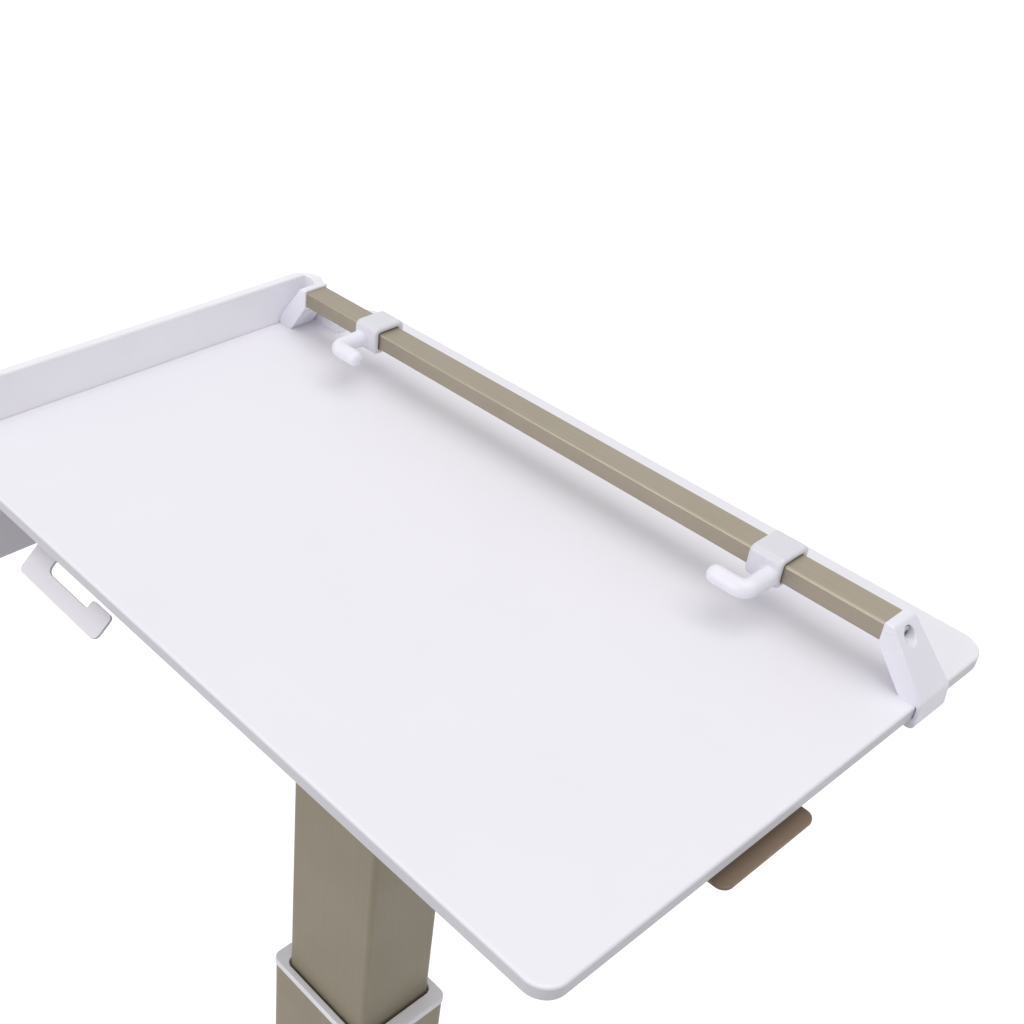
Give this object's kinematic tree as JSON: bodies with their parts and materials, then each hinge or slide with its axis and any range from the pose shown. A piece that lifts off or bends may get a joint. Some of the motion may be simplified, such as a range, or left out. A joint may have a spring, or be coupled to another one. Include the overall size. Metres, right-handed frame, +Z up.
{
  "type": "laptop cart",
  "caption": "Wheeled laptop cart with a telescoping column, a fenced worktop, a security bar with sliding hooks, a slide-out mouse tray and a sprung lift lever.",
  "frame": {"origin": "on the floor under the lift column's axis, which is the centre of the cart's footprint at rest", "axes": "+X is the user's right, +Y points away from the user toward the security bar, +Z is up along the column"},
  "size_m": [0.545, 0.5149, 1.1202],
  "materials": {
    "white_laminate": "smooth white laminate, satin",
    "white_moulding": "moulded, fine matt grain",
    "white_powder_coat": "satin powder coat",
    "champagne_anodised": "champagne anodised, satin",
    "taupe_powder_coat": "matt textured powder coat",
    "black_oxide_steel": "black oxide",
    "zinc_plated_steel": "zinc plated",
    "chromed_steel": "hard chromed, polished",
    "acetal": "natural acetal",
    "grey_nylon": "moulded nylon, matt",
    "grey_polyurethane": "soft polyurethane"
  },
  "bodies": {
    "base": {"base_casting": "white_powder_coat", "base_trim": "white_moulding", "outer_column": "champagne_anodised", "column_collar": "white_moulding", "upper_glide": "acetal", "foot_plate": "zinc_plated_steel", "foot_screw_left": "black_oxide_steel", "foot_screw_right": "black_oxide_steel", "gas_spring_rod": "chromed_steel"},
    "lift": {"inner_column": "champagne_anodised", "lower_glide": "acetal", "column_head": "zinc_plated_steel", "gas_spring_cylinder": "taupe_powder_coat", "worktop_frame": "taupe_powder_coat", "frame_screw_left": "black_oxide_steel", "frame_screw_right": "black_oxide_steel", "worktop": "white_laminate", "worktop_screw_front_left": "zinc_plated_steel", "worktop_screw_front_right": "zinc_plated_steel", "worktop_screw_rear_left": "zinc_plated_steel", "worktop_screw_rear_right": "zinc_plated_steel", "side_panel": "white_moulding", "side_screw_front": "zinc_plated_steel", "side_screw_rear": "zinc_plated_steel", "security_bar": "champagne_anodised", "end_bracket_left": "white_moulding", "end_bracket_right": "white_moulding", "bar_screw_left": "zinc_plated_steel", "bar_screw_right": "zinc_plated_steel", "tray_rail_front": "acetal", "tray_rail_rear": "acetal", "tray_stop_screw": "zinc_plated_steel", "lever_bracket": "zinc_plated_steel", "lever_pin": "zinc_plated_steel"},
    "hook_left_slider": {"hook_left": "white_moulding", "hook_set_screw_left": "black_oxide_steel"},
    "hook_right_slider": {"hook_right": "white_moulding", "hook_set_screw_right": "black_oxide_steel"},
    "mouse_tray_slider": {"mouse_tray": "taupe_powder_coat"},
    "lever": {"lift_lever": "white_powder_coat"},
    "swivel_front_left": {"caster_fork_front_left": "grey_nylon", "caster_axle_front_left": "zinc_plated_steel"},
    "swivel_front_right": {"caster_fork_front_right": "grey_nylon", "caster_axle_front_right": "zinc_plated_steel"},
    "swivel_rear_left": {"caster_fork_rear_left": "grey_nylon", "caster_axle_rear_left": "zinc_plated_steel"},
    "swivel_rear_right": {"caster_fork_rear_right": "grey_nylon", "caster_axle_rear_right": "zinc_plated_steel"},
    "wheel_front_left": {"caster_wheel_front_left": "grey_nylon", "caster_tyre_front_left": "grey_polyurethane"},
    "wheel_front_right": {"caster_wheel_front_right": "grey_nylon", "caster_tyre_front_right": "grey_polyurethane"},
    "wheel_rear_left": {"caster_wheel_rear_left": "grey_nylon", "caster_tyre_rear_left": "grey_polyurethane"},
    "wheel_rear_right": {"caster_wheel_rear_right": "grey_nylon", "caster_tyre_rear_right": "grey_polyurethane"},
    "brake_front_left": {"brake_pedal_front_left": "grey_nylon"},
    "brake_front_right": {"brake_pedal_front_right": "grey_nylon"}
  },
  "joints": [
    {"name": "lift_slide", "type": "slide", "parent": "base", "child": "lift", "axis": [0, 0, 1], "range_m": [-0.345, 0.08]},
    {"name": "hook_left_slide", "type": "slide", "parent": "lift", "child": "hook_left_slider", "axis": [-1, 0, 0], "range_m": [-0.145, 0.055]},
    {"name": "hook_right_slide", "type": "slide", "parent": "lift", "child": "hook_right_slider", "axis": [1, 0, 0], "range_m": [-0.145, 0.055]},
    {"name": "mouse_tray_slide", "type": "slide", "parent": "lift", "child": "mouse_tray_slider", "axis": [1, 0, 0], "range_m": [0, 0.125]},
    {"name": "lever_squeeze", "type": "hinge", "parent": "lift", "child": "lever", "pos_m": [-0.1425, -0.1034, 1.0603], "axis": [-1, 0, 0], "range_deg": [0, 10], "stiffness_Nm_per_rad": 1.5, "springref_deg": -5.73},
    {"name": "swivel_front_left", "type": "hinge", "parent": "base", "child": "swivel_front_left", "pos_m": [-0.2, -0.2275, 0.112], "axis": [0, 0, 1], "continuous": true},
    {"name": "swivel_front_right", "type": "hinge", "parent": "base", "child": "swivel_front_right", "pos_m": [0.2, -0.2275, 0.112], "axis": [0, 0, 1], "continuous": true},
    {"name": "swivel_rear_left", "type": "hinge", "parent": "base", "child": "swivel_rear_left", "pos_m": [-0.2, 0.1815, 0.112], "axis": [0, 0, 1], "continuous": true},
    {"name": "swivel_rear_right", "type": "hinge", "parent": "base", "child": "swivel_rear_right", "pos_m": [0.2, 0.1815, 0.112], "axis": [0, 0, 1], "continuous": true},
    {"name": "roll_front_left", "type": "hinge", "parent": "swivel_front_left", "child": "wheel_front_left", "pos_m": [-0.2, -0.2015, 0.05], "axis": [1, 0, 0], "continuous": true},
    {"name": "roll_front_right", "type": "hinge", "parent": "swivel_front_right", "child": "wheel_front_right", "pos_m": [0.2, -0.2015, 0.05], "axis": [1, 0, 0], "continuous": true},
    {"name": "roll_rear_left", "type": "hinge", "parent": "swivel_rear_left", "child": "wheel_rear_left", "pos_m": [-0.2, 0.2075, 0.05], "axis": [1, 0, 0], "continuous": true},
    {"name": "roll_rear_right", "type": "hinge", "parent": "swivel_rear_right", "child": "wheel_rear_right", "pos_m": [0.2, 0.2075, 0.05], "axis": [1, 0, 0], "continuous": true},
    {"name": "brake_front_left", "type": "hinge", "parent": "swivel_front_left", "child": "brake_front_left", "pos_m": [-0.2, -0.16422, 0.09443], "axis": [-1, 0, 0], "range_deg": [0, 20]},
    {"name": "brake_front_right", "type": "hinge", "parent": "swivel_front_right", "child": "brake_front_right", "pos_m": [0.2, -0.16422, 0.09443], "axis": [-1, 0, 0], "range_deg": [0, 20]}
  ]
}
